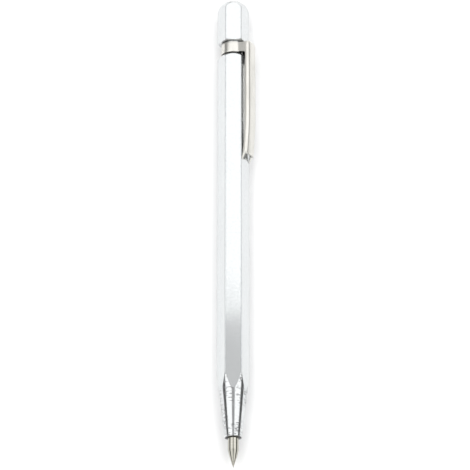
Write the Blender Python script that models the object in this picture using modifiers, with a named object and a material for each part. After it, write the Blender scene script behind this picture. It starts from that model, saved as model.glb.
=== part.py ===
"""Pocket scriber: a hexagonal aluminium barrel with a turned nose, a hard-metal tip,
a pressed spring clip and a domed cap that screws into the rear of the barrel.

Everything is modelled along a local Z axis, tip down and cap up, with heights measured
from the tip's point. One empty lays the whole tool down: its local +Z becomes world +Y,
and the flat under the barrel rests on Z = 0. The world origin is on that flat, half way
along the tool. All values are in metres.
"""
import math

import bmesh
import bpy
from mathutils import Matrix, Vector

MM = 0.001

# ---------------------------------------------------------------- driving dimensions

# hexagonal bar, shared by the barrel and the cap
ACROSS_FLATS = 8.0 * MM
EDGE_RADIUS = 0.28 * MM

# barrel
BARREL_LENGTH = 116.1 * MM
NOSE_END_WALL = 0.92 * MM       # metal round the tip at the end of the nose
NOSE_SLOPE = 0.119              # growth of the nose's radius along its length
NOSE_EDGE_BREAK = 0.12 * MM
NOSE_RIM = 0.17 * MM            # left outside the hollow at the end of the nose
NOSE_HOLLOW_DEPTH = 1.2 * MM
REAR_CHAMFER = 0.55 * MM        # taken off the flats, more off the corners
REAR_CHAMFER_SLOPE = 1.0        # 45 degrees

# tip
TIP_RADIUS = 1.5 * MM
TIP_STICK_OUT = 8.5 * MM        # from the point to the end of the nose
TIP_POINT_LENGTH = 5.0 * MM
TIP_POINT_FLAT = 0.04 * MM      # radius of the very end
TIP_OGIVE = 1.2                 # 1 is a straight cone, more is rounder
TIP_GRIP_LENGTH = 11.5 * MM     # held inside the nose

# cap
CAP_LENGTH = 14.2 * MM
CAP_DOME_SPARE = 0.13 * MM      # the dome's radius beyond the bar's corners
CAP_EDGE_CHAMFER = 0.15 * MM    # taken off the flats, more off the corners
CAP_CHAMFER_SLOPE = 0.5
NECK_LENGTH = 3.5 * MM
NECK_STEP = 0.45 * MM           # the neck's radius beyond the stud's
STUD_RADIUS = 2.5 * MM          # M5
STUD_LENGTH = 8.0 * MM
STUD_END_CHAMFER = 0.5 * MM
STUD_HOLE_SPARE = 1.0 * MM      # hole depth beyond the end of the stud

# clip
SHEET = 0.5 * MM
BAND_HEIGHT = 3.3 * MM
BAND_SEAM = 0.35 * MM           # butt joint at the back of the rolled band
CLIP_HALF_WIDTH = 2.24 * MM
CLIP_CORNER_RADIUS = 0.8 * MM
CLIP_LENGTH = 34.2 * MM         # from the underside of the band to the ends of the walls
CLIP_END_SLANT = 1.4 * MM       # the crown stops this much before the walls
CLIP_STANDOFF = 1.2 * MM        # walls above the flat, near the band
CLIP_WALL_DEPTH_TOP = 1.35 * MM
CLIP_WALL_DEPTH_END = 1.7 * MM
CLIP_BEND_LENGTH = 14.0 * MM    # the last stretch, which leans in towards the flat
CLIP_BEND_POWER = 1.65
HOOD_DROP = 0.25 * MM           # top of the hood below the top of the band
CLIP_TURN = math.radians(-30.0)  # direction of the clip about the tool's axis

# fits
PRESS_GAP = 0.05 * MM           # tip in the nose
THREAD_GAP = 0.05 * MM          # stud in the barrel, both drawn as plain cylinders
RUNNING_GAP = 0.05 * MM         # band round the neck
SEAT_GAP = 0.45 * MM            # between the barrel's rear face and the cap's neck
BORE_SPARE = 0.25 * MM          # below the tip's shank in its bore
CLIP_REST_GAP = 0.15 * MM       # ends of the walls above the flat
FLEX_GAP = 0.3 * MM             # between the band's hood and the arm

# roundness
TURNED_STEPS = 72
BORE_STEPS = 36
DOME_STEPS = 10
OGIVE_STEPS = 8
CORNER_STEPS = 4
ARM_ROWS = 16
EDGE_SEGMENTS = 2

# ------------------------------------------------------------------ derived positions

FLAT = ACROSS_FLATS / 2.0
CORNER = FLAT / math.cos(math.radians(30.0))
CLEAR = 2.0 * MM                # how far cutting shapes run past what they cut

NOSE_END = TIP_STICK_OUT
NOSE_END_RADIUS = TIP_RADIUS + NOSE_END_WALL
REAR_FACE_RADIUS = FLAT - REAR_CHAMFER
CAP_DOME_RADIUS = CORNER + CAP_DOME_SPARE
REAR_END = NOSE_END + BARREL_LENGTH
NECK_END = REAR_END + SEAT_GAP
CAP_START = NECK_END + NECK_LENGTH
TOTAL_LENGTH = CAP_START + CAP_LENGTH

NECK_RADIUS = STUD_RADIUS + NECK_STEP
BAND_INNER_RADIUS = NECK_RADIUS + RUNNING_GAP
BAND_OUTER_RADIUS = BAND_INNER_RADIUS + SHEET
BAND_START = CAP_START - (NECK_LENGTH + SEAT_GAP + BAND_HEIGHT) / 2.0
BAND_END = BAND_START + BAND_HEIGHT

CLIP_FOOT_TOP = FLAT + CLIP_STANDOFF
CLIP_CROWN_TOP = CLIP_FOOT_TOP + CLIP_WALL_DEPTH_TOP
CLIP_FOOT_END = FLAT + CLIP_REST_GAP
CLIP_CROWN_END = CLIP_FOOT_END + CLIP_WALL_DEPTH_END
ARM_START = BAND_START - FLEX_GAP
ARM_END = BAND_START - CLIP_LENGTH
PIVOT_HEIGHT = BAND_START - FLEX_GAP / 2.0
PIVOT_RADIUS = CLIP_CROWN_TOP - SHEET / 2.0

# ------------------------------------------------------------------------ scene setup


def clear_scene():
    for item in list(bpy.data.objects):
        bpy.data.objects.remove(item, do_unlink=True)


def new_collection(name):
    collection = bpy.data.collections.new(name)
    bpy.context.scene.collection.children.link(collection)
    return collection


def metal(name, colour, roughness):
    """A plain metallic finish."""
    material = bpy.data.materials.new(name)
    material.use_nodes = True
    shader = material.node_tree.nodes["Principled BSDF"]
    shader.inputs["Base Color"].default_value = (*colour, 1.0)
    shader.inputs["Metallic"].default_value = 1.0
    shader.inputs["Roughness"].default_value = roughness
    return material


def empty(name, collection, parent=None, location=(0, 0, 0), rotation=(0, 0, 0)):
    axis = bpy.data.objects.new(name, None)
    axis.empty_display_size = 5.0 * MM
    axis.location = location
    axis.rotation_euler = rotation
    axis.parent = parent
    collection.objects.link(axis)
    return axis


def mesh_object(name, shape, collection, parent, cutter=False):
    """Turn a finished bmesh into a named object. A cutter shows only as a wire."""
    mesh = bpy.data.meshes.new(name)
    shape.to_mesh(mesh)
    shape.free()
    item = bpy.data.objects.new(name, mesh)
    item.parent = parent
    collection.objects.link(item)
    if cutter:
        item.hide_render = True
        item.display_type = "WIRE"
    return item


# ---------------------------------------------------------------------- basic shapes


def turned(name, profile, collection, parent, closed=False, cutter=False, steps=TURNED_STEPS):
    """A lathe shape. profile lists (radius, height) down the outer side, from the top."""
    shape = bmesh.new()
    points = [shape.verts.new((radius, 0.0, height)) for radius, height in profile]
    for first, second in zip(points, points[1:]):
        shape.edges.new((first, second))
    if closed:
        shape.edges.new((points[-1], points[0]))
    item = mesh_object(name, shape, collection, parent, cutter)
    spin = item.modifiers.new("Turn", "SCREW")
    spin.axis = "Z"
    spin.angle = math.tau
    spin.steps = steps
    spin.render_steps = steps
    spin.use_merge_vertices = True
    spin.merge_threshold = 0.001 * MM
    return item


def hexagonal_bar(name, bottom, top, collection, parent):
    """A hexagonal bar with softened long edges, flats square to the local Y axis."""
    shape = bmesh.new()
    place = Matrix.Translation((0.0, 0.0, (bottom + top) / 2.0))
    turn = Matrix.Rotation(math.radians(30.0), 4, "Z")
    bmesh.ops.create_cone(shape, cap_ends=True, segments=6, radius1=CORNER, radius2=CORNER,
                          depth=top - bottom, matrix=place @ turn)
    long_edges = [edge for edge in shape.edges
                  if abs(edge.verts[0].co.z - edge.verts[1].co.z) > (top - bottom) / 2.0]
    bmesh.ops.bevel(shape, geom=long_edges, offset=EDGE_RADIUS * math.tan(math.radians(30.0)),
                    segments=EDGE_SEGMENTS, profile=0.5, affect="EDGES", material=-1)
    return mesh_object(name, shape, collection, parent)


def cylinder_cutter(name, radius, bottom, top, collection, parent):
    shape = bmesh.new()
    bmesh.ops.create_cone(shape, cap_ends=True, segments=BORE_STEPS, radius1=radius,
                          radius2=radius, depth=top - bottom,
                          matrix=Matrix.Translation((0.0, 0.0, (bottom + top) / 2.0)))
    return mesh_object(name, shape, collection, parent, cutter=True)


def box_shape(low, high):
    """A closed box between two corners, as a bmesh."""
    size = Vector(high) - Vector(low)
    middle = (Vector(high) + Vector(low)) / 2.0
    shape = bmesh.new()
    bmesh.ops.create_cube(shape, size=1.0,
                          matrix=Matrix.Translation(middle) @ Matrix.Diagonal((*size, 1.0)))
    return shape


def combine(item, operation, other):
    step = item.modifiers.new(operation.title() + "_" + other.name, "BOOLEAN")
    step.operation = operation
    step.solver = "EXACT"
    step.object = other


def finish(item, material, smooth_angle=30.0):
    """Give the object its material and shade its round stretches smooth.

    Modifiers that come before the shading keep the sharp edges that they make."""
    item.data.materials.append(material)
    item.data.shade_smooth()
    item.data.set_sharp_from_angle(angle=math.radians(smooth_angle))


# --------------------------------------------------------------------------- barrel


def barrel_envelope():
    """The lathe cuts: rear chamfer, full bar, nose cone and a broken front edge."""
    outside = CORNER + CLEAR
    chamfer_start = REAR_END - (outside - REAR_FACE_RADIUS) * REAR_CHAMFER_SLOPE
    cone_start = NOSE_END + (outside - NOSE_END_RADIUS) / NOSE_SLOPE
    return [
        (0.0, REAR_END),
        (REAR_FACE_RADIUS, REAR_END),
        (outside, chamfer_start),
        (outside, cone_start),
        (NOSE_END_RADIUS + NOSE_EDGE_BREAK * NOSE_SLOPE, NOSE_END + NOSE_EDGE_BREAK),
        (NOSE_END_RADIUS - NOSE_EDGE_BREAK, NOSE_END),
        (0.0, NOSE_END),
    ]


def tip_bore_profile():
    """The bore that grips the tip, opening into a hollow at the end of the nose."""
    bore = TIP_RADIUS + PRESS_GAP
    hollow = NOSE_END_RADIUS - NOSE_RIM
    bottom = NOSE_END + TIP_GRIP_LENGTH + BORE_SPARE
    return [
        (0.0, bottom),
        (bore, bottom),
        (bore, NOSE_END + NOSE_HOLLOW_DEPTH),
        (hollow, NOSE_END),
        (hollow, NOSE_END - CLEAR),
        (0.0, NOSE_END - CLEAR),
    ]


def make_barrel(parts, cutters, axis):
    barrel = hexagonal_bar("barrel", NOSE_END - CLEAR, REAR_END + CLEAR, parts, axis)
    envelope = turned("barrel_lathe_cut", barrel_envelope(), cutters, axis, cutter=True)
    tip_bore = turned("tip_bore_cut", tip_bore_profile(), cutters, axis, cutter=True,
                      steps=BORE_STEPS)
    stud_hole = cylinder_cutter("stud_hole_cut", STUD_RADIUS + THREAD_GAP,
                                NECK_END - STUD_LENGTH - STUD_HOLE_SPARE,
                                REAR_END + CLEAR, cutters, axis)
    combine(barrel, "INTERSECT", envelope)
    combine(barrel, "DIFFERENCE", tip_bore)
    combine(barrel, "DIFFERENCE", stud_hole)
    finish(barrel, metal("satin_aluminium", (0.86, 0.87, 0.88), 0.35))


# ------------------------------------------------------------------------------ tip


def tip_profile():
    """Straight shank down to a slightly rounded, sharp point."""
    outline = [
        (0.0, NOSE_END + TIP_GRIP_LENGTH),
        (TIP_RADIUS, NOSE_END + TIP_GRIP_LENGTH),
    ]
    for step in range(OGIVE_STEPS + 1):
        part = 1.0 - step / OGIVE_STEPS
        radius = TIP_RADIUS * (1.0 - (1.0 - part) ** TIP_OGIVE)
        outline.append((max(radius, TIP_POINT_FLAT), TIP_POINT_LENGTH * part))
    outline.append((0.0, 0.0))
    return outline


def make_tip(parts, axis):
    tip = turned("carbide_tip", tip_profile(), parts, axis, steps=BORE_STEPS)
    finish(tip, metal("ground_carbide", (0.60, 0.60, 0.57), 0.3))


# ------------------------------------------------------------------------------ cap


def cap_envelope():
    """Lathe cuts on the cap's hexagon: a domed end and a small chamfer underneath."""
    centre = TOTAL_LENGTH - CAP_DOME_RADIUS
    outline = [(0.0, TOTAL_LENGTH)]
    for step in range(1, DOME_STEPS + 1):
        turn = math.pi / 2.0 * step / DOME_STEPS
        outline.append((CAP_DOME_RADIUS * math.sin(turn), centre + CAP_DOME_RADIUS * math.cos(turn)))
    chamfer_height = (CAP_DOME_RADIUS - FLAT + CAP_EDGE_CHAMFER) * CAP_CHAMFER_SLOPE
    outline.append((CAP_DOME_RADIUS, CAP_START + chamfer_height))
    outline.append((FLAT - CAP_EDGE_CHAMFER, CAP_START))
    outline.append((0.0, CAP_START))
    return outline


def neck_profile():
    """The round neck that the clip's band sits on, and the threaded stud below it."""
    stud_end = NECK_END - STUD_LENGTH
    return [
        (0.0, CAP_START + CLEAR),
        (NECK_RADIUS, CAP_START + CLEAR),
        (NECK_RADIUS, NECK_END),
        (STUD_RADIUS, NECK_END),
        (STUD_RADIUS, stud_end + STUD_END_CHAMFER),
        (STUD_RADIUS - STUD_END_CHAMFER, stud_end),
        (0.0, stud_end),
    ]


def make_cap(parts, cutters, axis):
    cap = hexagonal_bar("end_cap", CAP_START - CLEAR, TOTAL_LENGTH + CLEAR, parts, axis)
    envelope = turned("cap_lathe_cut", cap_envelope(), cutters, axis, cutter=True)
    neck = turned("cap_neck_shape", neck_profile(), cutters, axis, cutter=True, steps=BORE_STEPS)
    combine(cap, "INTERSECT", envelope)
    combine(cap, "UNION", neck)
    finish(cap, metal("satin_aluminium_cap", (0.86, 0.87, 0.88), 0.35))


# ----------------------------------------------------------------------------- clip


def clip_section(crown, foot):
    """A round-shouldered channel: (outward, across) from one foot over to the other."""
    reach = CLIP_HALF_WIDTH - CLIP_CORNER_RADIUS
    side = [(foot, CLIP_HALF_WIDTH)]
    for step in range(CORNER_STEPS + 1):
        turn = math.pi / 2.0 * (1.0 - step / CORNER_STEPS)
        outward = crown - CLIP_CORNER_RADIUS + CLIP_CORNER_RADIUS * math.cos(turn)
        side.append((outward, reach + CLIP_CORNER_RADIUS * math.sin(turn)))
    return side + [(outward, -across) for outward, across in reversed(side)]


def arm_point(row, column, columns):
    """A point of the arm's outer skin. The walls run on past the end of the crown."""
    is_foot = column in (0, columns - 1)
    end = ARM_END if is_foot else ARM_END + CLIP_END_SLANT
    height = ARM_START + (end - ARM_START) * row / (ARM_ROWS - 1)
    bend_start = ARM_END + CLIP_BEND_LENGTH
    bend = max(0.0, (bend_start - height) / (bend_start - end)) ** CLIP_BEND_POWER
    crown = CLIP_CROWN_TOP + (CLIP_CROWN_END - CLIP_CROWN_TOP) * bend
    foot = CLIP_FOOT_TOP + (CLIP_FOOT_END - CLIP_FOOT_TOP) * bend
    outward, across = clip_section(crown, foot)[column]
    return Vector((outward - PIVOT_RADIUS, across, height - PIVOT_HEIGHT))


def make_clip_arm(parts, pivot):
    """The springy arm, a bent channel: one grid laid over its outside, then thickened."""
    columns = len(clip_section(CLIP_CROWN_TOP, CLIP_FOOT_TOP))
    shape = bmesh.new()
    bmesh.ops.create_grid(shape, x_segments=columns - 1, y_segments=ARM_ROWS - 1, size=0.5)
    for vertex in shape.verts:
        column = round((vertex.co.x + 0.5) * (columns - 1))
        row = round((vertex.co.y + 0.5) * (ARM_ROWS - 1))
        vertex.co = arm_point(row, column, columns)
    bmesh.ops.recalc_face_normals(shape, faces=shape.faces)
    arm = mesh_object("clip_arm", shape, parts, pivot)
    wall = arm.modifiers.new("Sheet", "SOLIDIFY")
    wall.thickness = SHEET
    wall.offset = -1.0
    wall.use_even_offset = True
    finish(arm, metal("plated_steel_arm", (0.75, 0.75, 0.72), 0.2))


def make_clip_band(parts, cutters, clip_axis):
    """The rolled band round the neck, with the hood that carries the arm."""
    ring = [
        (BAND_INNER_RADIUS, BAND_END),
        (BAND_OUTER_RADIUS, BAND_END),
        (BAND_OUTER_RADIUS, BAND_START),
        (BAND_INNER_RADIUS, BAND_START),
    ]
    band = turned("clip_band", ring, parts, clip_axis, closed=True, steps=BORE_STEPS)

    hood_top = BAND_END - HOOD_DROP
    hood = box_shape((BAND_INNER_RADIUS / 2.0, -CLIP_HALF_WIDTH, BAND_START),
                     (CLIP_CROWN_TOP, CLIP_HALF_WIDTH, hood_top))
    soft_edges = [edge for edge in hood.edges
                  if min(v.co.x for v in edge.verts) > BAND_OUTER_RADIUS
                  and max(v.co.z for v in edge.verts) > hood_top - SHEET / 2.0]
    bmesh.ops.bevel(hood, geom=soft_edges, offset=CLIP_CORNER_RADIUS, segments=CORNER_STEPS,
                    profile=0.5, affect="EDGES", material=-1)
    hood_shape = mesh_object("hood_shape", hood, cutters, clip_axis, cutter=True)

    inside = CLIP_HALF_WIDTH - SHEET
    pocket = box_shape((0.0, -inside, BAND_START - CLEAR),
                       (CLIP_CROWN_TOP - SHEET, inside, hood_top - SHEET))
    pocket_cut = mesh_object("hood_pocket_cut", pocket, cutters, clip_axis, cutter=True)

    neck_cut = cylinder_cutter("band_bore_cut", BAND_INNER_RADIUS, BAND_START - CLEAR,
                               BAND_END + CLEAR, cutters, clip_axis)
    seam = box_shape((-BAND_OUTER_RADIUS - CLEAR, -BAND_SEAM / 2.0, BAND_START - CLEAR),
                     (0.0, BAND_SEAM / 2.0, BAND_END + CLEAR))
    seam_cut = mesh_object("band_seam_cut", seam, cutters, clip_axis, cutter=True)

    combine(band, "UNION", hood_shape)
    combine(band, "DIFFERENCE", pocket_cut)
    combine(band, "DIFFERENCE", neck_cut)
    combine(band, "DIFFERENCE", seam_cut)
    finish(band, metal("plated_steel_band", (0.75, 0.75, 0.72), 0.2))


# ------------------------------------------------------------------------- assembly


def main():
    clear_scene()
    parts = new_collection("pocket_scriber")
    cutters = new_collection("cutters")

    axis = empty("scriber_axis", parts, location=(0.0, -TOTAL_LENGTH / 2.0, FLAT),
                 rotation=(math.radians(-90.0), 0.0, 0.0))
    clip_axis = empty("clip_axis", parts, parent=axis, rotation=(0.0, 0.0, CLIP_TURN))
    pivot = empty("clip_pivot", parts, parent=clip_axis,
                  location=(PIVOT_RADIUS, 0.0, PIVOT_HEIGHT))

    make_barrel(parts, cutters, axis)
    make_tip(parts, axis)
    make_cap(parts, cutters, axis)
    make_clip_band(parts, cutters, clip_axis)
    make_clip_arm(parts, pivot)


main()
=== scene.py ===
import math

import bmesh
import bpy
from bpy.props import FloatProperty, FloatVectorProperty, PointerProperty
from mathutils import Matrix, Vector


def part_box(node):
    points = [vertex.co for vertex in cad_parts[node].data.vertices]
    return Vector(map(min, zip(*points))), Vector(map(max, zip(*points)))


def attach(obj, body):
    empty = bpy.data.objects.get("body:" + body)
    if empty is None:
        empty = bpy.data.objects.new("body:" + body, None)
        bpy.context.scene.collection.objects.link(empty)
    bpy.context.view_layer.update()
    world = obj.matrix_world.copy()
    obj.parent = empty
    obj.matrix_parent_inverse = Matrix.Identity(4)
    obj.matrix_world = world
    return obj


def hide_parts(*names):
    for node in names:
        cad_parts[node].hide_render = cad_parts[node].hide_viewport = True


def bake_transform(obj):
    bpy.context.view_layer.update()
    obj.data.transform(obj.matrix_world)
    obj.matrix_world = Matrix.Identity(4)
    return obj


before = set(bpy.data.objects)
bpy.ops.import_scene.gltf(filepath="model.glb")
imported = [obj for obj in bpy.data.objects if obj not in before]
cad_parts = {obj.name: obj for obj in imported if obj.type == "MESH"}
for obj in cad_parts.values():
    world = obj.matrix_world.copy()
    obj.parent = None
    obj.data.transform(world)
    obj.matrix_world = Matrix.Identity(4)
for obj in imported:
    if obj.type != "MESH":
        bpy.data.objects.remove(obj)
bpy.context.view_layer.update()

bl_info = {
    "name": "Pocket scriber",
    "version": (1, 0, 0),
    "blender": (4, 5, 0),
    "location": "View3D > Sidebar > Scriber",
    "description": "Hexagonal pocket scriber with a carbide tip, a screwed cap and a spring clip",
    "category": "Add Mesh",
}

MM = 0.001

# Places taken from the frame. The tool lies along Y with its point towards -Y.
BARREL_LOW, BARREL_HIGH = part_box("barrel")
TIP_LOW, TIP_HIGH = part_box("carbide_tip")
CAP_LOW, CAP_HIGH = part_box("end_cap")
BAND_LOW, BAND_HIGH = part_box("clip_band")
ARM_LOW, ARM_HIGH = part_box("clip_arm")

AXIS_HEIGHT = (BARREL_LOW.z + BARREL_HIGH.z) / 2.0
FLAT = (BARREL_HIGH.z - BARREL_LOW.z) / 2.0
TIP_RADIUS = (TIP_HIGH.z - TIP_LOW.z) / 2.0
POINT = TIP_LOW.y
NOSE_END = BARREL_LOW.y
REAR_END = BARREL_HIGH.y
CAP_END = CAP_HIGH.y
STUD_END = CAP_LOW.y
BAND_START = BAND_LOW.y
BAND_END = BAND_HIGH.y
ARM_END = ARM_LOW.y

# Pieces are shaped standing up on Z, with heights equal to the frame's Y, then laid down.
LAY_DOWN = Matrix.Translation((0.0, 0.0, AXIS_HEIGHT)) @ Matrix.Rotation(math.radians(-90.0), 4, "X")
CLIP_TURN = math.radians(-30.0)
HALF_SIDE = math.radians(30.0)  # half of the angle that one flat of the hexagon takes up

# How finely the shapes are drawn.
EDGE_STEPS = 4
FLAT_STEPS = 14
CONE_ROWS = 12
DOME_ROWS = 18
BAR_ROWS = 6
THREAD_STEPS = 10               # rows for each turn of the thread
SHANK_ROWS = 6
TIP_STEPS = 72
OGIVE_ROWS = 16
SHARP_ANGLE = math.radians(32.0)
MERGE = 1e-7
EDGE_SPARE = 0.001              # radians by which the rubbing and the painted dark reflection run past the rounding

# Shares of a turn's travel that the thread's root and flanks take up; its crest has the rest.
THREAD_ROOT, THREAD_FLANKS = 0.2, 0.6


# ----------------------------------------------------------------------------- settings


class ScriberSizes(bpy.types.PropertyGroup):
    """Sizes that are not read from the frame."""

    edge_radius: FloatProperty(
        name="Edge radius", description="Rounding of the bar's six long edges",
        default=0.28 * MM, unit="LENGTH", precision=5)
    nose_radius: FloatProperty(
        name="Nose radius", description="Radius of the end of the turned nose",
        default=TIP_RADIUS + 0.92 * MM, unit="LENGTH", precision=5)
    nose_slope: FloatProperty(
        name="Nose slope", description="Growth of the nose's radius along its length",
        default=0.119)
    nose_break: FloatProperty(
        name="Nose edge", description="Rounding of the nose's end",
        default=0.12 * MM, unit="LENGTH", precision=5)
    rear_chamfer: FloatProperty(
        name="Rear chamfer", description="Chamfer on the flats at the barrel's rear end",
        default=0.55 * MM, unit="LENGTH", precision=5)
    cap_length: FloatProperty(
        name="Cap length", description="Length of the hexagonal part of the cap",
        default=14.2 * MM, unit="LENGTH", precision=5)
    cap_chamfer: FloatProperty(
        name="Cap chamfer", description="Chamfer on the flats at the cap's lower end",
        default=0.15 * MM, unit="LENGTH", precision=5)
    dome_spare: FloatProperty(
        name="Dome spare", description="Radius of the cap's dome beyond the bar's sharp corners",
        default=0.13 * MM, unit="LENGTH", precision=5)
    neck_length: FloatProperty(
        name="Neck length", description="Length of the round neck under the cap",
        default=3.5 * MM, unit="LENGTH", precision=5)
    neck_radius: FloatProperty(
        name="Neck radius", description="Radius of the round neck under the cap",
        default=2.95 * MM, unit="LENGTH", precision=5)
    stud_radius: FloatProperty(
        name="Stud radius", description="Outer radius of the cap's screw thread",
        default=2.5 * MM, unit="LENGTH", precision=5)
    thread_pitch: FloatProperty(
        name="Thread pitch", description="Travel of the cap in one turn",
        default=0.8 * MM, unit="LENGTH", precision=5)
    thread_depth: FloatProperty(
        name="Thread depth", description="Depth of the screw thread",
        default=0.44 * MM, unit="LENGTH", precision=5)
    tip_cone: FloatProperty(
        name="Point length", description="Length of the ground point",
        default=5.0 * MM, unit="LENGTH", precision=5)
    tip_flat: FloatProperty(
        name="Point flat", description="Radius of the very end of the point",
        default=0.04 * MM, unit="LENGTH", precision=5)
    tip_ogive: FloatProperty(
        name="Point roundness", description="1 is a straight cone, more is rounder",
        default=1.2)
    sheet: FloatProperty(
        name="Clip sheet", description="Thickness of the clip's steel",
        default=0.5 * MM, unit="LENGTH", precision=5)
    clip_half_width: FloatProperty(
        name="Clip half width", description="Half the width of the clip over its walls",
        default=2.24 * MM, unit="LENGTH", precision=5)
    clip_corner: FloatProperty(
        name="Clip corner", description="Outside rounding between the clip's crown and walls",
        default=0.8 * MM, unit="LENGTH", precision=5)
    clip_crown_turn: FloatProperty(
        name="Clip crown", description="How far the crown leans over at its edges",
        default=math.radians(10.0), unit="ROTATION")
    hood_round: FloatProperty(
        name="Hood rounding", description="Rounding of the hood's upper end",
        default=0.65 * MM, unit="LENGTH", precision=5)
    band_fillet: FloatProperty(
        name="Band fillet", description="Hollow curve between the band and the hood's walls",
        default=0.6 * MM, unit="LENGTH", precision=5)


class ScriberColours(bpy.types.PropertyGroup):
    """Colours of the finishes."""

    aluminium: FloatVectorProperty(
        name="Aluminium", description="Drawn and turned aluminium", subtype="COLOR",
        size=4, min=0.0, max=1.0, default=(0.705, 0.722, 0.728, 1.0))
    # Also the colour of the painted dark reflection along the bar's rounded edges.
    aluminium_shade: FloatVectorProperty(
        name="Aluminium shade", description="Duller patches on the aluminium", subtype="COLOR",
        size=4, min=0.0, max=1.0, default=(0.56, 0.58, 0.59, 1.0))
    # Also the near-black painted shade on the bore, the nose's hollow and the barrel's rear end.
    tool_mark: FloatVectorProperty(
        name="Tool marks", description="Darker marks on turned and bored faces", subtype="COLOR",
        size=4, min=0.0, max=1.0, default=(0.20, 0.20, 0.205, 1.0))
    carbide: FloatVectorProperty(
        name="Carbide", description="Ground carbide", subtype="COLOR",
        size=4, min=0.0, max=1.0, default=(0.50, 0.49, 0.435, 1.0))
    carbide_shade: FloatVectorProperty(
        name="Carbide shade", description="Darker grinding lines on the carbide", subtype="COLOR",
        size=4, min=0.0, max=1.0, default=(0.35, 0.34, 0.30, 1.0))
    plating: FloatVectorProperty(
        name="Plating", description="Nickel plating on the clip", subtype="COLOR",
        size=4, min=0.0, max=1.0, default=(0.72, 0.71, 0.67, 1.0))
    plating_shade: FloatVectorProperty(
        name="Plating shade", description="Duller patches on the plating", subtype="COLOR",
        size=4, min=0.0, max=1.0, default=(0.58, 0.57, 0.53, 1.0))
    # Painted light: the inside of the clip is brighter, so that the barrel's strip beside the arm,
    # which reflects it, looks lighter.
    bright_plating: FloatVectorProperty(
        name="Unworn plating", description="Nickel plating inside the clip", subtype="COLOR",
        size=4, min=0.0, max=1.0, default=(0.93, 0.925, 0.90, 1.0))
    floor: FloatVectorProperty(
        name="Floor", description="Pale floor", subtype="COLOR",
        size=4, min=0.0, max=1.0, default=(0.93, 0.93, 0.93, 1.0))


class ScriberStage(bpy.types.PropertyGroup):
    """Camera and studio lights."""

    camera_distance: FloatProperty(
        name="Camera distance", description="From the camera to the point it looks at",
        default=0.680, unit="LENGTH")
    camera_elevation: FloatProperty(
        name="Camera elevation", description="Angle of the camera above the floor",
        default=math.radians(68.22), unit="ROTATION")
    camera_lens: FloatProperty(
        name="Camera lens", description="Focal length in millimetres", default=183.2)
    aim_x: FloatProperty(
        name="Aim X", description="Sideways place of the point the camera looks at",
        default=0.48 * MM, unit="LENGTH", precision=5)
    aim_y: FloatProperty(
        name="Aim Y", description="Lengthwise place of the point the camera looks at",
        default=-2.785 * MM, unit="LENGTH", precision=5)
    panel_height: FloatProperty(
        name="Panel height", description="Height of the light panels above the floor",
        default=0.30, unit="LENGTH")
    panel_glow: FloatProperty(
        name="Panel glow", description="Radiance of the panels at both sides", default=1.03)
    rear_glow: FloatProperty(
        name="Rear glow", description="Radiance of the rear panel", default=0.86)
    fill_glow: FloatProperty(
        name="Fill glow", description="Radiance of the wide light that is left out of reflections",
        default=0.55)


# ----------------------------------------------------------------------- shader helpers


class Wire:
    """The output of a node, so that sums in a shader are written as plain sums."""

    def __init__(self, web, socket):
        self.web = web
        self.socket = socket

    def __add__(self, other):
        return self.web.sum("ADD", self, other)

    def __radd__(self, other):
        return self.web.sum("ADD", other, self)

    def __sub__(self, other):
        return self.web.sum("SUBTRACT", self, other)

    def __mul__(self, other):
        return self.web.sum("MULTIPLY", self, other)


class Web:
    """A node tree that is being filled."""

    def __init__(self, tree):
        self.tree = tree
        tree.nodes.clear()

    def node(self, kind, settings, sockets, output=0):
        """Adds a node: its settings first, then the values or links of its sockets."""
        made = self.tree.nodes.new(kind)
        for name, value in settings.items():
            setattr(made, name, value)
        for name, value in sockets.items():
            if isinstance(value, Wire):
                self.tree.links.new(value.socket, made.inputs[name])
            else:
                made.inputs[name].default_value = value
        return Wire(self, made.outputs[output]) if made.outputs else made

    def sum(self, operation, first, second):
        return self.node("ShaderNodeMath", {"operation": operation}, {0: first, 1: second})

    def rise(self, value, low, high):
        """0 below low, 1 above high and a smooth step between them."""
        return self.node("ShaderNodeMapRange", {"interpolation_type": "SMOOTHSTEP"},
                         {"Value": value, "From Min": low, "From Max": high})

    def place(self, scale):
        """Object coordinates, stretched."""
        here = self.node("ShaderNodeTexCoord", {}, {}, output="Object")
        return self.node("ShaderNodeMapping", {}, {"Vector": here, "Scale": scale})

    def noise(self, scale, detail, rough):
        """Noise whose grains are 1 / scale metres across in each direction."""
        return self.node("ShaderNodeTexNoise", {},
                         {"Vector": self.place(scale), "Scale": 1.0, "Detail": detail,
                          "Roughness": rough})

    def mix(self, factor, first, second):
        """From the first colour to the second."""
        return self.node("ShaderNodeMix", {"data_type": "RGBA"}, {0: factor, 6: first, 7: second},
                         output=2)

    def bump(self, height, distance):
        return self.node("ShaderNodeBump", {}, {"Height": height, "Distance": distance})


def metal(colour, roughness, relief, depth, web, metallic=1.0):
    """Finishes a metal from its varying colour, roughness and relief."""
    shader = web.node("ShaderNodeBsdfPrincipled", {},
                      {"Base Color": colour, "Metallic": metallic, "Roughness": roughness,
                       "Normal": web.bump(relief, depth)})
    web.node("ShaderNodeOutputMaterial", {}, {"Surface": shader})


def new_material(name):
    material = bpy.data.materials.new(name)
    material.use_nodes = True
    return material, Web(material.node_tree)


# ---------------------------------------------------------------------------- materials


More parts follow.
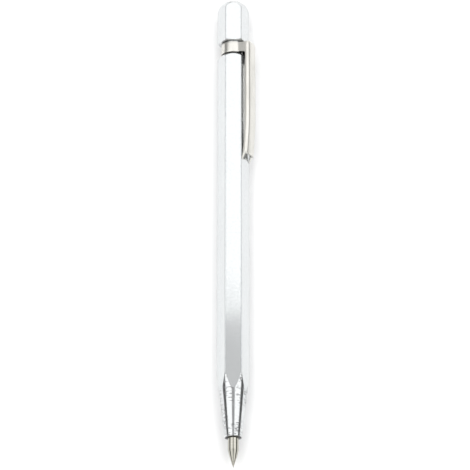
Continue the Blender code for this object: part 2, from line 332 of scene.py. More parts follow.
def drawn_aluminium(colours):
    """Bar as it comes from the die: fine lines along it, a fine grain, and rubbed long edges that
    also carry a painted dark reflection.
    """
    material, web = new_material("drawn_aluminium")
    lines = web.noise((7000.0, 45.0, 7000.0), 3.0, 0.6)
    grain = web.noise((2000.0, 1500.0, 2000.0), 2.0, 0.7)
    smears = web.noise((260.0, 60.0, 260.0), 3.0, 0.55)
    # The rounded long edges are darkened, partly as rubbing with nicks and partly as a painted dark
    # reflection line.
    worn_and_reflecting_edges = web.node("ShaderNodeAttribute", {"attribute_name": "rubbed_edges_and_painted_reflection"}, {}, output="Fac")
    nicks = web.rise(web.noise((900.0, 500.0, 900.0), 2.0, 0.5), 0.58, 0.68) * worn_and_reflecting_edges
    dulling_and_reflection = (web.rise(smears, 0.35, 0.75) * 0.12 + web.rise(grain, 0.35, 0.65) * 0.28
            + worn_and_reflecting_edges * 0.6 + nicks * 0.5)
    colour = web.mix(dulling_and_reflection, tuple(colours.aluminium), tuple(colours.aluminium_shade))
    roughness = 0.065 + web.rise(smears, 0.3, 0.8) * 0.04 + grain * 0.06 + nicks * 0.1
    relief = lines * 0.45 + grain * 0.40 - nicks * 1.5
    metal(colour, roughness, relief, 0.000005, web, metallic=0.80)
    return material


def turned_aluminium(colours):
    """Lathe-turned faces: fine rings round the axis, broken up by short, deeper tool marks."""
    material, web = new_material("turned_aluminium")
    rings = web.noise((25.0, 9000.0, 25.0), 2.0, 0.6)
    feed = web.noise((12.0, 2600.0, 12.0), 1.0, 0.5)
    marks = web.rise(web.noise((700.0, 3000.0, 700.0), 2.0, 0.55), 0.51, 0.60)
    worked = web.rise(web.noise((330.0, 150.0, 330.0), 1.0, 0.5), 0.40, 0.55)
    marks = marks * worked
    colour = web.mix(marks * 0.75 + web.rise(rings, 0.5, 0.8) * 0.15, tuple(colours.aluminium),
                     tuple(colours.tool_mark))
    roughness = 0.08 + rings * 0.06 + marks * 0.12
    relief = rings * 0.10 + feed * 0.25 - marks * 0.9
    metal(colour, roughness, relief, 0.000014, web, metallic=0.92)
    return material


def shade_painted_aluminium(colours):
    """Bored holes and sawn ends, left matt, with coarse rings, coloured near-black in blotches as
    painted shade for the shadow in the nose's hollow and in the gap at the rear.
    """
    material, web = new_material("shade_painted_aluminium")
    rings = web.noise((200.0, 5000.0, 200.0), 2.0, 0.6)
    shade_blotches = web.rise(web.noise((900.0, 900.0, 900.0), 2.0, 0.5), 0.30, 0.60)
    # Painted shade: the colour is mostly the dark mark colour, and darker still in blotches.
    colour = web.mix(0.72 + shade_blotches * 0.25, tuple(colours.aluminium), tuple(colours.tool_mark))
    roughness = 0.30 + rings * 0.10
    metal(colour, roughness, rings * 0.8 + shade_blotches * 0.2, 0.000006, web)
    return material


def lapped_carbide(colours):
    """Ground carbide: short grinding lines round the point and a fine speckle."""
    material, web = new_material("lapped_carbide")
    lines = web.noise((60.0, 8000.0, 60.0), 3.0, 0.65)
    speckle = web.noise((9000.0, 9000.0, 9000.0), 2.0, 0.6)
    patches = web.noise((700.0, 350.0, 700.0), 2.0, 0.5)
    shade = web.rise(lines, 0.35, 0.75) * 0.4 + web.rise(patches, 0.4, 0.8) * 0.4
    colour = web.mix(shade, tuple(colours.carbide), tuple(colours.carbide_shade))
    roughness = 0.05 + lines * 0.05 + speckle * 0.03
    metal(colour, roughness, lines * 0.7 + speckle * 0.3, 0.000003, web)
    return material


def nickel_plating(colours):
    """Plating over pressed steel: a fine pebbled skin, faint polishing lines and tiny pits."""
    material, web = new_material("nickel_plating")
    pebbles = web.noise((2500.0, 2500.0, 2500.0), 2.0, 0.6)
    polish = web.noise((4200.0, 70.0, 4200.0), 3.0, 0.6)
    patches = web.noise((320.0, 110.0, 320.0), 3.0, 0.55)
    pits = web.rise(web.noise((2100.0, 2100.0, 2100.0), 1.0, 0.5), 0.66, 0.76)
    shade = web.rise(patches, 0.35, 0.8) * 0.4 + web.rise(pebbles, 0.4, 0.75) * 0.35 + pits * 0.5
    colour = web.mix(shade, tuple(colours.plating), tuple(colours.plating_shade))
    roughness = 0.27 + web.rise(patches, 0.3, 0.8) * 0.06 + polish * 0.05 + pits * 0.15
    relief = pebbles * 0.6 + polish * 0.2 - pits * 0.8
    metal(colour, roughness, relief, 0.000008, web)
    return material


def painted_light_inner_plating(colours):
    """Plating inside the channel: smoother, and painted brighter as painted light that lightens the
    barrel's shaded strip beside the arm.
    """
    material, web = new_material("painted_light_inner_plating")
    pebbles = web.noise((2500.0, 2500.0, 2500.0), 2.0, 0.6)
    stains = web.rise(web.noise((420.0, 160.0, 420.0), 2.0, 0.5), 0.45, 0.80)
    colour = web.mix(stains * 0.35, tuple(colours.bright_plating), tuple(colours.plating))
    roughness = 0.04 + pebbles * 0.04 + stains * 0.05
    metal(colour, roughness, pebbles, 0.000002, web)
    return material


def pale_floor(colours):
    """Smooth pale board under the tool."""
    material, web = new_material("pale_floor")
    shader = web.node("ShaderNodeBsdfPrincipled", {},
                      {"Base Color": tuple(colours.floor), "Roughness": 0.9,
                       "Specular IOR Level": 0.1})
    web.node("ShaderNodeOutputMaterial", {}, {"Surface": shader})
    return material


def shared(make, colours):
    """The material that make builds, built once. No finish may share a name with the frame's."""
    return bpy.data.materials.get(make.__name__) or make(colours)


# ------------------------------------------------------------------------ shape helpers


def laid_grid(columns, rows, place, finish_of=lambda row: 0, keep=lambda row, column: True):
    """A grid whose corners are put where place says. keep picks its faces by row and column."""
    shape = bmesh.new()
    bmesh.ops.create_grid(shape, x_segments=columns - 1, y_segments=rows - 1, size=0.5)
    unwanted = []
    for face in shape.faces:
        middle = face.calc_center_median()
        row = int((middle.y + 0.5) * (rows - 1))
        face.material_index = finish_of(row)
        if not keep(row, int((middle.x + 0.5) * (columns - 1))):
            unwanted.append(face)
    for vertex in shape.verts:
        column = round((vertex.co.x + 0.5) * (columns - 1))
        row = round((vertex.co.y + 0.5) * (rows - 1))
        vertex.co = place(row, column)
    bmesh.ops.delete(shape, geom=unwanted, context="FACES")
    bmesh.ops.remove_doubles(shape, verts=shape.verts, dist=MERGE)
    return shape


def spun(profile, steps):
    """Turns an open (radius, height) profile, whose ends lie on the axis, into a closed shape."""
    shape = bmesh.new()
    corners = [shape.verts.new((radius, 0.0, height)) for radius, height in profile]
    lines = [shape.edges.new(pair) for pair in zip(corners, corners[1:])]
    bmesh.ops.spin(shape, geom=corners + lines, cent=(0.0, 0.0, 0.0), axis=(0.0, 0.0, 1.0),
                   angle=2.0 * math.pi, steps=steps, use_merge=True, use_duplicate=False)
    bmesh.ops.remove_doubles(shape, verts=shape.verts, dist=MERGE)
    return shape


def show(name, shape, matrix, finishes, modifiers=()):
    """Lays a shape down in the frame and links it as a finished object, with modifiers applied."""
    bmesh.ops.transform(shape, matrix=matrix, verts=shape.verts)
    bmesh.ops.recalc_face_normals(shape, faces=shape.faces)
    for face in shape.faces:
        face.smooth = True
    for edge in shape.edges:
        edge.smooth = not (edge.is_manifold and edge.calc_face_angle() > SHARP_ANGLE)
    mesh = bpy.data.meshes.new(name)
    shape.to_mesh(mesh)
    shape.free()
    item = bpy.data.objects.new(name, mesh)
    bpy.context.scene.collection.objects.link(item)
    for finish in finishes:
        mesh.materials.append(finish)
    for kind, settings in modifiers:
        modifier = item.modifiers.new(kind.title(), kind)
        for key, value in settings.items():
            setattr(modifier, key, value)
    if modifiers:
        item.data = bpy.data.meshes.new_from_object(
            item.evaluated_get(bpy.context.evaluated_depsgraph_get()))
        item.data.name = name
        item.modifiers.clear()
        bpy.data.meshes.remove(mesh)
    return item


def mix(first, second, part):
    return first + (second - first) * part


def smooth(part):
    """0 at 0, 1 at 1, and level at both ends."""
    return part * part * (3.0 - 2.0 * part)


def between(first, second, part):
    """The ring part of the way from one ring to another."""
    return lambda direction: tuple(
        mix(a, b, part) for a, b in zip(first(direction), second(direction)))


def ring(radius, height):
    return lambda direction: (radius, height)


class Bar:
    """The hexagonal bar's section, with its rounded edges."""

    def __init__(self, edge_radius):
        self.edge = edge_radius
        inner = FLAT - edge_radius
        self.centre = inner / math.cos(HALF_SIDE)
        self.half_flat = inner * math.tan(HALF_SIDE)
        self.edge_start = math.atan(self.half_flat / FLAT)

    def offset(self, direction):
        """Angle from the middle of the nearest flat."""
        return direction % (2.0 * HALF_SIDE) - HALF_SIDE

    def radius(self, direction):
        turn = abs(self.offset(direction))
        if turn <= self.edge_start:
            return FLAT / math.cos(turn)
        turn = HALF_SIDE - turn
        across = self.centre * math.sin(turn)
        return self.centre * math.cos(turn) + math.sqrt(self.edge ** 2 - across ** 2)

    def directions(self):
        """Directions round the bar, close together over the rounded edges."""
        rim = []
        for step in range(EDGE_STEPS + 1):
            turn = HALF_SIDE * step / EDGE_STEPS
            rim.append(HALF_SIDE - math.atan2(self.edge * math.sin(turn),
                                              self.centre + self.edge * math.cos(turn)))
        flat = [math.atan(self.half_flat * (2.0 * step / FLAT_STEPS - 1.0) / FLAT)
                for step in range(1, FLAT_STEPS)]
        sector = [-turn for turn in rim] + flat + rim[:0:-1]
        found = [HALF_SIDE * (1.0 + 2.0 * side) + turn for side in range(6) for turn in sector]
        return found + found[:1]

    def ring(self, height):
        return lambda direction: (self.radius(direction), height)

    def cut_ring(self, height_of, shift=0.0):
        """The line where a lathe cut meets the bar; height_of gives its height from a radius."""
        return lambda direction: (self.radius(direction),
                                  height_of(self.radius(direction)) + shift)

    def shape(self, rings):
        """Closed shape through rings of (ring, finish of the strip that follows it)."""
        directions = self.directions()

        def place(row, column):
            direction = directions[column]
            radius, height = rings[row][0](direction)
            return Vector((radius * math.cos(direction), radius * math.sin(direction), height))

        made = laid_grid(len(directions), len(rings), place, lambda row: rings[row][1])
        # Marks the rounded long edges, which are darkened partly as rubbing and partly as a painted
        # dark reflection.
        worn_and_reflecting_layer = made.verts.layers.float.new("rubbed_edges_and_painted_reflection")
        for vertex in made.verts:
            direction = math.atan2(vertex.co.y, vertex.co.x)
            on_edge = abs(self.offset(direction)) > self.edge_start - EDGE_SPARE
            outside = math.hypot(vertex.co.x, vertex.co.y) > FLAT + self.edge
            vertex[worn_and_reflecting_layer] = 1.0 if on_edge and outside else 0.0
        return made


# The third finish is painted shade, put on the bore, the nose's hollow and the rear chamfer and
# face.
DRAWN, TURNED, PAINTED_SHADE = 0, 1, 2


def thread_radius(sizes, direction, height):
    """Radius of the screw thread's surface, right-handed, at a direction and a height."""
    phase = (height / sizes.thread_pitch - direction / (2.0 * math.pi)) % 1.0
    ridge = (1.0 - abs(2.0 * phase - 1.0) - THREAD_ROOT) / THREAD_FLANKS
    ridge = min(max(ridge, 0.0), 1.0)
    return sizes.stud_radius - sizes.thread_depth * (1.0 - ridge)


def thread_rings(sizes, start, end, fit):
    """Rings along a thread; fit turns the screw's own radius at a height into the ring's."""
    count = max(2, round(abs(end - start) / sizes.thread_pitch * THREAD_STEPS))

    def thread_ring(height):
        return lambda direction: (
            fit(thread_radius(sizes, direction, height), height), height)

    return [(thread_ring(mix(start, end, step / count)), TURNED) for step in range(count + 1)]


# --------------------------------------------------------------------------- the pieces


class SCRIBER_OT_barrel(bpy.types.Operator):
    """Hexagonal barrel: turned nose, bore for the tip, chamfered rear end, threaded hole"""

    bl_idname = "scriber.make_barrel"
    bl_label = "Make the barrel"

    BORE_SPARE = 0.25 * MM       # between the tip's shank and the bottom of its bore
    PRESS_GAP = 0.05 * MM
    NOSE_RIM = 0.17 * MM         # left outside the hollow at the end of the nose
    HOLLOW_DEPTH = 1.2 * MM
    ROUND_IN, ROUND_UP = 0.32, 0.28  # middle of the nose's rounding, as shares of its size
    LAST_CONE_PART = 0.992       # a row close to the cone's edge keeps that edge crisp
    START_MARGIN = 1.0 * MM      # the plain bar starts and stops this far inside its cut ends
    END_MARGIN = 2.0 * MM
    THREAD_GAP = 0.05 * MM
    HOLE_SPARE = 1.0 * MM        # between the stud and the bottom of its hole
    MOUTH_CHAMFER = 0.35 * MM / 3.0
    CREASE = 0.12 * MM

    def nose_rings(self, sizes, bar):
        bore = TIP_RADIUS + self.PRESS_GAP
        bottom = TIP_HIGH.y + self.BORE_SPARE
        edge = sizes.nose_break
        start = sizes.nose_radius + sizes.nose_slope * edge

        def height_of(radius):
            return NOSE_END + (radius - sizes.nose_radius) / sizes.nose_slope

        meet = bar.cut_ring(height_of)
        cone = ring(start, NOSE_END + edge)
        # The bore and the nose's hollow take the painted shade finish.
        inside = [
            (ring(0.0, bottom), PAINTED_SHADE), (ring(bore, bottom), PAINTED_SHADE),
            (ring(bore, NOSE_END + self.HOLLOW_DEPTH), PAINTED_SHADE),
            (ring(sizes.nose_radius - self.NOSE_RIM, NOSE_END), TURNED),
        ]
        rings = [ring(sizes.nose_radius - edge, NOSE_END),
                 ring(start - self.ROUND_IN * edge, NOSE_END + self.ROUND_UP * edge)]
        rings += [between(cone, meet, step / CONE_ROWS) for step in range(CONE_ROWS)]
        rings += [between(cone, meet, self.LAST_CONE_PART), meet]
        flats_start = height_of(bar.radius(0.0)) + self.START_MARGIN
        return (inside + [(item, TURNED) for item in rings[:-1]]
                + [(meet, DRAWN), (bar.cut_ring(height_of, self.CREASE), DRAWN)], flats_start)

    def rear_rings(self, sizes, bar):
        face = FLAT - sizes.rear_chamfer
        hole = sizes.stud_radius + self.THREAD_GAP
        bottom = STUD_END - self.HOLE_SPARE

        def height_of(radius):
            return REAR_END - (radius - face)

        # The rear chamfer and face take the painted shade finish: a dark line for the shadow between
        # the barrel and the clip's band.
        rear = [
            (bar.cut_ring(height_of, -self.CREASE), DRAWN),
            (bar.cut_ring(height_of), PAINTED_SHADE),
            (ring(face, REAR_END), PAINTED_SHADE),
        ]

        def hole_fit(radius, height):
            mouth = hole + self.MOUTH_CHAMFER - (REAR_END - height)
            return max(radius + self.THREAD_GAP, mouth)

        rear += thread_rings(sizes, REAR_END, bottom, hole_fit)
        rear.append((ring(0.0, bottom), TURNED))
        return rear

    def execute(self, context):
        sizes = context.scene.scriber_sizes
        colours = context.scene.scriber_colours
        bar = Bar(sizes.edge_radius)
        nose, flats_start = self.nose_rings(sizes, bar)
        rear = self.rear_rings(sizes, bar)
        flats_end = REAR_END - self.END_MARGIN
        flats = [(bar.ring(mix(flats_start, flats_end, step / BAR_ROWS)), DRAWN)
                 for step in range(BAR_ROWS + 1)]
        barrel = show("barrel_body", bar.shape(nose + flats + rear), LAY_DOWN,
                      [shared(drawn_aluminium, colours), shared(turned_aluminium, colours),
                       shared(shade_painted_aluminium, colours)])
        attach(barrel, "barrel")
        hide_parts("barrel")
        return {"FINISHED"}


class SCRIBER_OT_tip(bpy.types.Operator):
    """Carbide tip: straight shank held in the nose, ground to a long round-sided point"""

    bl_idname = "scriber.make_tip"
    bl_label = "Make the tip"

    SHANK_CHAMFER = 0.2 * MM
    SHOULDER = 0.06 * MM         # a row close to the point's start keeps that edge crisp
    END_ROUND = 0.6              # rounding of the very end, as a share of its radius

    def execute(self, context):
        sizes = context.scene.scriber_sizes
        colours = context.scene.scriber_colours
        top = TIP_HIGH.y
        profile = [(0.0, top), (TIP_RADIUS - self.SHANK_CHAMFER, top),
                   (TIP_RADIUS, top - self.SHANK_CHAMFER)]
        shank_end = POINT + sizes.tip_cone
        profile += [(TIP_RADIUS, mix(top - self.SHANK_CHAMFER, shank_end, step / SHANK_ROWS))
                    for step in range(1, SHANK_ROWS)]
        profile.append((TIP_RADIUS, shank_end + self.SHOULDER))
        for step in range(OGIVE_ROWS):
            part = 1.0 - step / OGIVE_ROWS
            radius = TIP_RADIUS * (1.0 - (1.0 - part) ** sizes.tip_ogive)
            profile.append((max(radius, sizes.tip_flat), POINT + sizes.tip_cone * part))
        end_round = sizes.tip_flat * self.END_ROUND
        profile += [(sizes.tip_flat, POINT + end_round), (end_round, POINT), (0.0, POINT)]
        tip = show("carbide_point", spun(profile, TIP_STEPS), LAY_DOWN,
                   [shared(lapped_carbide, colours)])
        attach(tip, "barrel")
        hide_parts("carbide_tip")
        return {"FINISHED"}


class SCRIBER_OT_cap(bpy.types.Operator):
    """Screwed cap: domed hexagon, round neck for the clip's band, and a threaded stud"""

    bl_idname = "scriber.make_cap"
    bl_label = "Make the cap"

    CREASE = 0.1 * MM
    LAST_DOME_PART = 0.985       # a row close to the dome's edge keeps that edge crisp
    CHAMFER_SLOPE = 0.5
    NECK_EDGE = 0.12 * MM
    RELIEF_LENGTH = 0.7 * MM
    THREAD_START = 0.1 * MM      # from the relief to the thread's first row
    STUD_CHAMFER = 0.5 * MM

    def execute(self, context):
        sizes = context.scene.scriber_sizes
        colours = context.scene.scriber_colours
        bar = Bar(sizes.edge_radius)
        start = CAP_END - sizes.cap_length
        dome = FLAT / math.cos(HALF_SIDE) + sizes.dome_spare
        centre = CAP_END - dome
        face = FLAT - sizes.cap_chamfer

        def dome_ring(part):
            def found(direction):
                turn = math.asin(bar.radius(direction) / dome) * part
                return dome * math.sin(turn), centre + dome * math.cos(turn)
            return found

        def dome_height(radius):
            return centre + math.sqrt(dome ** 2 - radius ** 2)

        def chamfer_height(radius):
            return start + (radius - face) * self.CHAMFER_SLOPE

        rings = [(dome_ring(step / DOME_ROWS), TURNED) for step in range(DOME_ROWS)]
        rings += [
            (dome_ring(self.LAST_DOME_PART), TURNED),
            (bar.cut_ring(dome_height), DRAWN),
            (bar.cut_ring(dome_height, -self.CREASE), DRAWN),
            (bar.ring(centre), DRAWN),
            (bar.ring(mix(centre, start, 0.5)), DRAWN),
            (bar.cut_ring(chamfer_height, self.CREASE), DRAWN),
            (bar.cut_ring(chamfer_height), TURNED),
            (ring(face, start), TURNED),
        ]
        neck_end = start - sizes.neck_length
        neck = sizes.neck_radius
        root = sizes.stud_radius - sizes.thread_depth
        relief_end = neck_end - self.RELIEF_LENGTH
        rings += [(ring(*corner), TURNED) for corner in (
            (neck, start), (neck, neck_end + self.NECK_EDGE), (neck - self.NECK_EDGE, neck_end),
            (root, neck_end), (root, relief_end))]

        def stud_fit(radius, height):
            return min(radius, sizes.stud_radius - self.STUD_CHAMFER + (height - STUD_END))

        rings += thread_rings(sizes, relief_end - self.THREAD_START, STUD_END, stud_fit)
        rings.append((ring(0.0, STUD_END), TURNED))
        cap = show("screw_cap", bar.shape(rings), LAY_DOWN,
                   [shared(drawn_aluminium, colours), shared(turned_aluminium, colours)])
        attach(cap, "cap")
        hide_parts("end_cap")
        return {"FINISHED"}


class Channel:
    """Outside of the pressed clip as (outward, across) points, column by column."""

    BAND_COLUMNS = 22
    FILLET_COLUMNS = 6
    WALL_COLUMNS = 7
    CORNER_COLUMNS = 7
    CROWN_COLUMNS = 4
    BAND_RADIUS = 3.5 * MM
    SEAM = 0.35 * MM
    # Distances from the tool's axis, near the band and at the arm's end.
    CROWN_TOP, CROWN_END = 6.55 * MM, 5.85 * MM
    FOOT_TOP, FOOT_END = 5.2 * MM, 4.15 * MM
    BEND_LENGTH = 14.0 * MM
    BEND_POWER = 1.65
    END_SLANT = 1.4 * MM
    GUSSET = 0.9 * MM
    HOOD_DROP = 0.25 * MM        # top of the hood below the top of the band
    HOOD_TOP = BAND_END - HOOD_DROP
    ROUNDING_GROWTH = 0.45       # share of a wall over which the hood's rounding grows

    def __init__(self, sizes):
        self.half = sizes.clip_half_width
        self.corner = sizes.clip_corner
        self.hood_round = sizes.hood_round
        self.fillet = sizes.band_fillet
        across = self.half + self.fillet
        self.fillet_out = math.sqrt((self.BAND_RADIUS + self.fillet) ** 2 - across ** 2)
        self.fillet_turn = math.atan2(across, self.fillet_out)
        self.lean = sizes.clip_crown_turn
        self.crown_edge = self.half - self.corner + self.corner * math.sin(self.lean)
        self.bow = self.crown_edge * math.tan(self.lean) / 2.0
        seam_turn = math.pi - self.SEAM / 2.0 / self.BAND_RADIUS
        side = [("band", mix(seam_turn, self.fillet_turn, step / self.BAND_COLUMNS))
                for step in range(self.BAND_COLUMNS)]
        side += [("fillet", step / self.FILLET_COLUMNS) for step in range(self.FILLET_COLUMNS)]
        self.first_wall = len(side)
        side += [("wall", step / self.WALL_COLUMNS) for step in range(self.WALL_COLUMNS)]
        side += [("corner", mix(math.pi / 2.0, self.lean, step / self.CORNER_COLUMNS))
                 for step in range(self.CORNER_COLUMNS)]
        side += [("crown", 1.0 - step / self.CROWN_COLUMNS) for step in range(self.CROWN_COLUMNS)]
        self.columns = ([(kind, part, 1.0) for kind, part in side] + [("crown", 0.0, 1.0)]
                        + [(kind, part, -1.0) for kind, part in reversed(side)])

    def is_channel(self, column):
        """True for the strip to the right of this column when it is a wall or the crown."""
        return self.first_wall <= column < len(self.columns) - 1 - self.first_wall

    def section(self, column, crown, foot):
        """Point of a column and the direction its skin faces, for a crown and a foot radius."""
        kind, part, side = self.columns[column]
        corner_out = crown - self.bow - self.corner * math.cos(self.lean)
        if kind == "band":
            facing = (math.cos(part), math.sin(part))
            point = (self.BAND_RADIUS * facing[0], self.BAND_RADIUS * facing[1])
        elif kind == "fillet":
            turn = mix(math.pi + self.fillet_turn, 1.5 * math.pi, part)
            facing = (-math.cos(turn), -math.sin(turn))
            point = (self.fillet_out - self.fillet * facing[0],
                     self.half + self.fillet - self.fillet * facing[1])
        elif kind == "wall":
            facing = (0.0, 1.0)
            point = (mix(foot, corner_out, part), self.half)
        elif kind == "corner":
            facing = (math.cos(part), math.sin(part))
            point = (corner_out + self.corner * facing[0],
                     self.half - self.corner + self.corner * facing[1])
        else:
            facing = (math.cos(self.lean * part), math.sin(self.lean * part))
            point = (crown - self.bow * part ** 2, self.crown_edge * part)
        return (point[0], point[1] * side), (facing[0], facing[1] * side)

    def end_height(self, column):
        """Height of the arm's lower end: the walls run on past the crown."""
        kind, part, _ = self.columns[column]
        return ARM_END + self.END_SLANT * (part if kind == "wall" else 1.0)

    def arm_point(self, column, part):
        """Point of the arm, from its lower end at part 0 to the band at part 1."""
        end = self.end_height(column)
        height = mix(end, BAND_START, part)
        bend_start = ARM_END + self.BEND_LENGTH
        bend = max(0.0, (bend_start - height) / (bend_start - end)) ** self.BEND_POWER
        crown = mix(self.CROWN_TOP, self.CROWN_END, bend)
        foot = mix(self.FOOT_TOP, self.FOOT_END, bend)
        rise = (BAND_START - height) / self.GUSSET
        if rise < 1.0:
            foot = mix(self.fillet_out, self.FOOT_TOP, math.sqrt(1.0 - (1.0 - rise) ** 2))
        (outward, across), _ = self.section(column, crown, foot)
        return Vector((outward, across, height))

    def rounding(self, column):
        """Rounding of the hood's upper edge, which dies out towards the band."""
        kind, part, _ = self.columns[column]
        if kind in ("band", "fillet"):
            return 0.0
        if kind == "wall":
            return self.hood_round * smooth(min(part / self.ROUNDING_GROWTH, 1.0))
        return self.hood_round

    def top_height(self, column):
        kind, part, _ = self.columns[column]
        if kind == "band":
            return BAND_END
        if kind == "fillet":
            return mix(BAND_END, self.HOOD_TOP, smooth(part))
        return self.HOOD_TOP - self.rounding(column)

    def hood_point(self, column, part):
        """Point of the hood or band, from the band's underside at part 0 to its top."""
        (outward, across), _ = self.section(column, self.CROWN_TOP, self.fillet_out)
        return Vector((outward, across, mix(BAND_START, self.top_height(column), part)))

    def roof_point(self, column, part):
        """Point of the rounding over the hood's upper edge."""
        (outward, across), facing = self.section(column, self.CROWN_TOP, self.fillet_out)
        size = self.rounding(column)
        inward = size * (1.0 - math.cos(math.pi / 2.0 * part))
        return Vector((outward - facing[0] * inward, across - facing[1] * inward,
                       self.top_height(column) + size * math.sin(math.pi / 2.0 * part)))


class SCRIBER_OT_clip(bpy.types.Operator):
    """Pressed spring clip: rolled band round the neck, closed hood and long channel arm"""

    bl_idname = "scriber.make_clip"
    bl_label = "Make the clip"

    ARM_ROWS = 46
    GUSSET_ROWS = 7
    HOOD_ROWS = 6
    ROOF_ROWS = 6
    ROOF_STEPS = 8
    NECK_SPARE = 0.07 * MM
    ROOF_INSET = 0.5 * MM        # the roof's edge at the neck stops this far inside the walls
    RIM_BEVEL = 0.05 * MM
    RIM_ANGLE = math.radians(55.0)

    def arm_parts(self, channel):
        """How far up the arm each row lies; rows crowd together at the gusset."""
        length = BAND_START - ARM_END
        gusset = 1.0 - channel.GUSSET / length
        parts = [gusset * step / self.ARM_ROWS for step in range(self.ARM_ROWS)]
        return parts + [mix(gusset, 1.0, math.sin(math.pi / 2.0 * step / self.GUSSET_ROWS))
                        for step in range(self.GUSSET_ROWS)]

    def close_roof(self, shape, channel, neck):
        """Fills the flat of the hood's roof, with an edge that follows the neck."""
        roof = [vertex for vertex in shape.verts
                if abs(vertex.co.z - channel.HOOD_TOP) < MERGE and vertex.is_boundary]
        chosen = set(roof)
        open_edges = [edge for edge in shape.edges
                      if edge.is_boundary and all(v in chosen for v in edge.verts)]
        first = max(roof, key=lambda v: v.co.y - v.co.x)
        last = min(roof, key=lambda v: v.co.y + v.co.x)
        inside = channel.half - self.ROOF_INSET
        chain = [first]
        for step in range(self.ROOF_STEPS + 1):
            across = mix(inside, -inside, step / self.ROOF_STEPS)
            chain.append(shape.verts.new((math.sqrt(neck ** 2 - across ** 2), across,
                                          channel.HOOD_TOP)))
        chain.append(last)
        new_edges = [shape.edges.new(pair) for pair in zip(chain, chain[1:])]
        bmesh.ops.edgeloop_fill(shape, edges=open_edges + new_edges)

    def execute(self, context):
        sizes = context.scene.scriber_sizes
        colours = context.scene.scriber_colours
        channel = Channel(sizes)
        arm = self.arm_parts(channel)
        hood_start = len(arm)
        roof_start = hood_start + self.HOOD_ROWS

        def place(row, column):
            if row < hood_start:
                return channel.arm_point(column, arm[row])
            if row <= roof_start:
                return channel.hood_point(column, (row - hood_start) / self.HOOD_ROWS)
            return channel.roof_point(column, (row - roof_start) / self.ROOF_ROWS)

        def keep(row, column):
            return hood_start <= row < roof_start or channel.is_channel(column)

        shape = laid_grid(len(channel.columns), roof_start + self.ROOF_ROWS + 1, place, keep=keep)
        self.close_roof(shape, channel, sizes.neck_radius + self.NECK_SPARE)
        turn = LAY_DOWN @ Matrix.Rotation(CLIP_TURN, 4, "Z")
        # The inside of the sheet gets the second finish, the painted light plating.
        finishes = [shared(nickel_plating, colours), shared(painted_light_inner_plating, colours)]
        clip = show("spring_clip", shape, turn, finishes, (
            ("SOLIDIFY", {"thickness": sizes.sheet, "offset": -1.0, "use_even_offset": True,
                          "material_offset": 1}),
            ("BEVEL", {"width": self.RIM_BEVEL, "segments": 2, "limit_method": "ANGLE",
                       "angle_limit": self.RIM_ANGLE}),
        ))
        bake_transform(clip)
        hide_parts("clip_band", "clip_arm")
        return {"FINISHED"}


# -------------------------------------------------------------------------------- stage


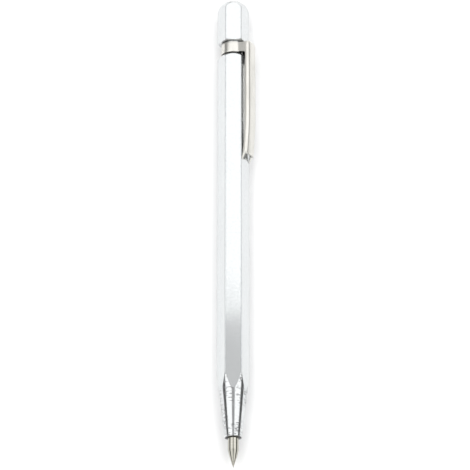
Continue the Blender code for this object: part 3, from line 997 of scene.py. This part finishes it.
class SCRIBER_OT_stage(bpy.types.Operator):
    """Pale floor, soft light panels, dim surroundings and the camera"""

    bl_idname = "scriber.make_stage"
    bl_label = "Make the stage"

    SLOT_HALF = 0.064            # the camera looks down between the side panels
    PANEL_OUTER = 0.600
    PANEL_HALF_LENGTH = 0.30
    REAR_START, REAR_STOP = 0.078, 0.52
    FLOOR_HALF = 4.0
    FILL_SIZE, FILL_HEIGHT = 5.0, 2.5

    # Radiances of the surroundings, and where one fades into the next on the unit sphere.
    CEILING, REAR_CEILING = 0.36, 0.63
    SIDE_WALLS, END_WALLS = 0.06, 0.90
    CEILING_FADE = (0.12, 0.27)  # backwards, from the ceiling to its brighter rear
    WALL_FADE = (0.25, 0.45)     # square of the way along Y, from the side to the end walls
    UPWARD_FADE = (0.46, 0.58)   # upwards, from the walls to the ceiling

    SENSOR_WIDTH = 36.0          # in millimetres
    NEAR, FAR = 0.01, 20.0

    def panel(self, name, centre, size, glow, in_gloss=True):
        """A soft rectangular light that faces down."""
        data = bpy.data.lights.new(name, "AREA")
        data.shape = "RECTANGLE"
        data.size, data.size_y = size
        data.energy = glow * math.pi * size[0] * size[1]
        lamp = bpy.data.objects.new(name, data)
        lamp.location = centre
        lamp.visible_camera = False
        lamp.visible_glossy = in_gloss
        bpy.context.scene.collection.objects.link(lamp)

    def surroundings(self, scene):
        """Dim overhead, brighter towards the rear, dark at both sides and bright at both ends."""
        scene.world = bpy.data.worlds.new("studio")
        scene.world.use_nodes = True
        web = Web(scene.world.node_tree)
        direction = web.node("ShaderNodeTexCoord", {}, {}, output="Generated")
        back = web.node("ShaderNodeSeparateXYZ", {}, {"Vector": direction}, output="Y")
        up = web.node("ShaderNodeSeparateXYZ", {}, {"Vector": direction}, output="Z")
        ceiling = (self.CEILING + web.rise(back, *self.CEILING_FADE)
                   * (self.REAR_CEILING - self.CEILING))
        walls = (self.SIDE_WALLS + web.rise(back * back, *self.WALL_FADE)
                 * (self.END_WALLS - self.SIDE_WALLS))
        glow = walls + web.rise(up, *self.UPWARD_FADE) * (ceiling - walls)
        light = web.node("ShaderNodeBackground", {}, {"Color": (1.0, 1.0, 1.0, 1.0),
                                                      "Strength": glow})
        web.node("ShaderNodeOutputWorld", {}, {"Surface": light})

    def camera(self, scene, stage):
        data = bpy.data.cameras.new("camera")
        data.sensor_width = self.SENSOR_WIDTH
        data.lens = stage.camera_lens
        data.clip_start, data.clip_end = self.NEAR, self.FAR
        back = Vector((0.0, -math.cos(stage.camera_elevation), math.sin(stage.camera_elevation)))
        item = bpy.data.objects.new("camera", data)
        item.location = (Vector((stage.aim_x, stage.aim_y, AXIS_HEIGHT))
                         + back * stage.camera_distance)
        item.rotation_mode = "QUATERNION"
        item.rotation_quaternion = (-back).to_track_quat("-Z", "Y")
        scene.collection.objects.link(item)
        scene.camera = item

    def floor(self, colours):
        shape = bmesh.new()
        bmesh.ops.create_grid(shape, x_segments=1, y_segments=1, size=self.FLOOR_HALF)
        floor = show("floor", shape, Matrix.Identity(4), [shared(pale_floor, colours)])

    def execute(self, context):
        scene = context.scene
        stage = scene.scriber_stage
        self.floor(scene.scriber_colours)
        height = stage.panel_height
        width = self.PANEL_OUTER - self.SLOT_HALF
        middle = (self.PANEL_OUTER + self.SLOT_HALF) / 2.0
        for name, side in (("left_panel", -1.0), ("right_panel", 1.0)):
            self.panel(name, (side * middle, 0.0, height), (width, 2.0 * self.PANEL_HALF_LENGTH),
                       stage.panel_glow)
        self.panel("rear_panel", (0.0, (self.REAR_START + self.REAR_STOP) / 2.0, height),
                   (2.0 * self.SLOT_HALF, self.REAR_STOP - self.REAR_START), stage.rear_glow)
        self.panel("fill", (0.0, 0.0, self.FILL_HEIGHT), (self.FILL_SIZE, self.FILL_SIZE),
                   stage.fill_glow, in_gloss=False)
        self.surroundings(scene)
        self.camera(scene, stage)
        scene.view_settings.view_transform = "Standard"
        return {"FINISHED"}


class SCRIBER_PT_panel(bpy.types.Panel):
    """Sidebar panel with the settings and one button for each piece"""

    bl_label = "Scriber"
    bl_idname = "SCRIBER_PT_panel"
    bl_space_type = "VIEW_3D"
    bl_region_type = "UI"
    bl_category = "Scriber"

    def draw(self, context):
        for group in (context.scene.scriber_sizes, context.scene.scriber_colours,
                      context.scene.scriber_stage):
            box = self.layout.box()
            for name in group.__annotations__:
                box.prop(group, name)
        for maker in MAKERS:
            self.layout.operator(maker.bl_idname)


GROUPS = {
    "scriber_sizes": ScriberSizes,
    "scriber_colours": ScriberColours,
    "scriber_stage": ScriberStage,
}
MAKERS = (SCRIBER_OT_barrel, SCRIBER_OT_tip, SCRIBER_OT_cap, SCRIBER_OT_clip, SCRIBER_OT_stage)


def register():
    for kind in (*GROUPS.values(), *MAKERS, SCRIBER_PT_panel):
        bpy.utils.register_class(kind)
    for name, group in GROUPS.items():
        setattr(bpy.types.Scene, name, PointerProperty(type=group))


def unregister():
    for name in GROUPS:
        delattr(bpy.types.Scene, name)
    for kind in reversed((*GROUPS.values(), *MAKERS, SCRIBER_PT_panel)):
        bpy.utils.unregister_class(kind)


def main():
    register()
    bpy.ops.scriber.make_barrel()
    bpy.ops.scriber.make_tip()
    bpy.ops.scriber.make_cap()
    bpy.ops.scriber.make_clip()
    bpy.ops.scriber.make_stage()


if __name__ == "__main__":
    main()
